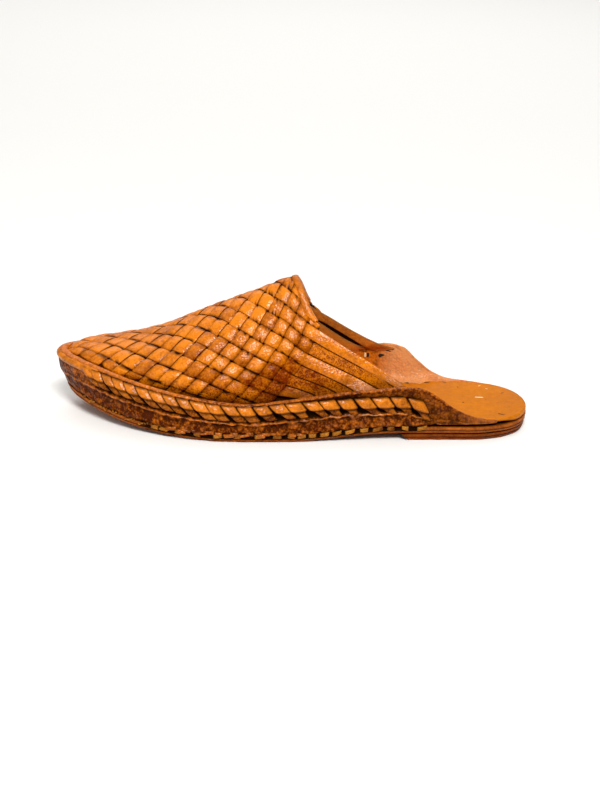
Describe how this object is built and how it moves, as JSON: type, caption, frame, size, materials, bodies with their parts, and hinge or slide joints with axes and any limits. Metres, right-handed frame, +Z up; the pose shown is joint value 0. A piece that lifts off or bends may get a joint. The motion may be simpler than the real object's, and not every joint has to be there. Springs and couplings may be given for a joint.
{
  "type": "mule",
  "caption": "Backless slip-on shoe with a pointed toe, a diagonally woven leather vamp, a laced side wall with raised ears, a bare footbed and a low heel lift.",
  "frame": {"origin": "middle of the shoe's outline, on the floor", "axes": "-X towards the toe, +X towards the heel, -Y towards the outer side of the foot, +Z up"},
  "size_m": [0.2808, 0.0996, 0.0875],
  "materials": {
    "sole_leather": "worn dark brown edge",
    "heel_leather": "stacked, dark brown",
    "footbed_leather": "smooth orange tan, satin",
    "wall_leather": "rough reddish brown, worn",
    "lace_leather": "tan thong, satin",
    "woven_leather": "glossy orange tan"
  },
  "bodies": {
    "root": {"outsole": "sole_leather", "heel_lift": "heel_leather", "insole": "footbed_leather", "rand": "wall_leather", "braid": "lace_leather", "upper": "woven_leather"}
  },
  "joints": []
}
